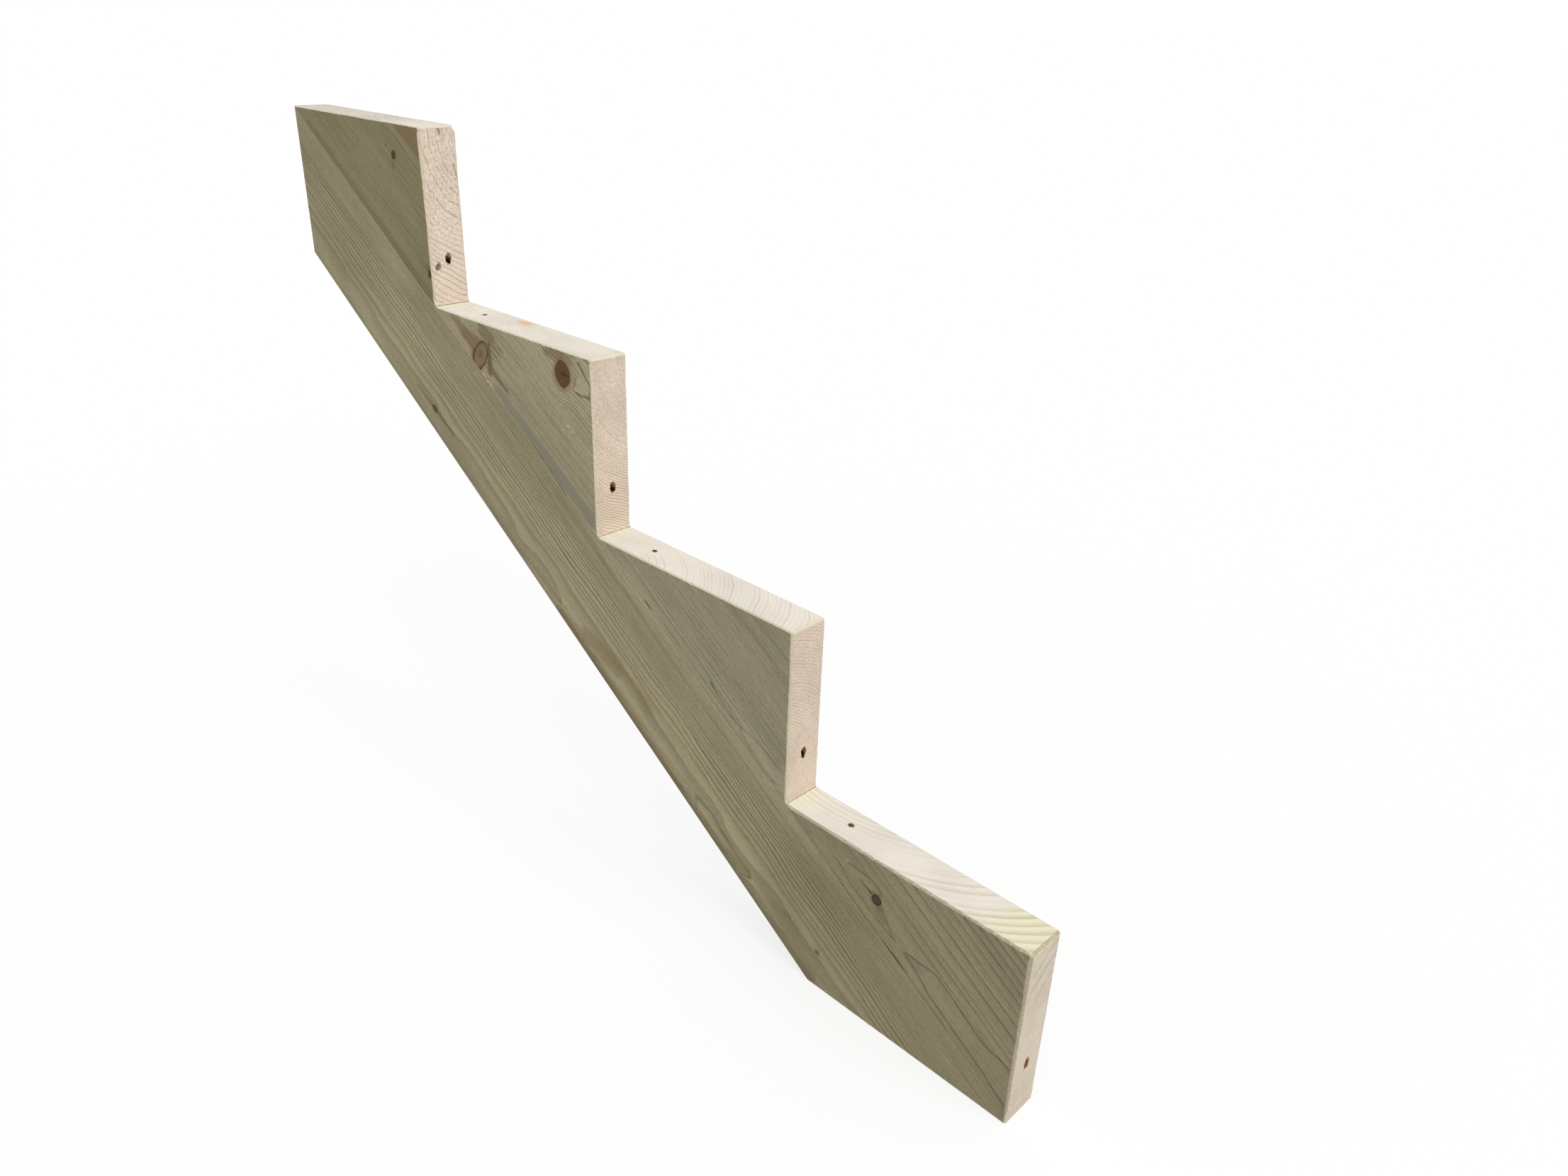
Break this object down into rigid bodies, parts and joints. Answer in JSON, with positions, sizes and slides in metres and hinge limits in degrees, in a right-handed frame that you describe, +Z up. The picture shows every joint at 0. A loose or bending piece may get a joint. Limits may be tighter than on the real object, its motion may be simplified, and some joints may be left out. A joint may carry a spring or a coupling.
{
  "type": "stair stringer",
  "caption": "Built-up timber stair stringer: a straight bearer board with triangular step blocks glued and screwed along its upper edge to carry treads.",
  "frame": {"origin": "middle of the rear plumb cut, the face that is fixed to the structure at the head of the steps", "axes": "+X down the flight, away from the rear plumb cut; +Y across the thickness; +Z up, as the stringer stands in use"},
  "size_m": [1.14, 0.044, 0.77],
  "materials": {
    "board_timber": "planed, pressure-treated softwood, grey-green",
    "block_timber": "planed, pressure-treated softwood with pale sawn treads and risers",
    "zinc_screw": "yellow zinc-plated steel"
  },
  "bodies": {
    "root": {"bearer_board": "board_timber", "step_block_1": "block_timber", "step_block_2": "block_timber", "step_block_3": "block_timber", "step_block_4": "block_timber", "step_screws": "zinc_screw"}
  },
  "joints": []
}
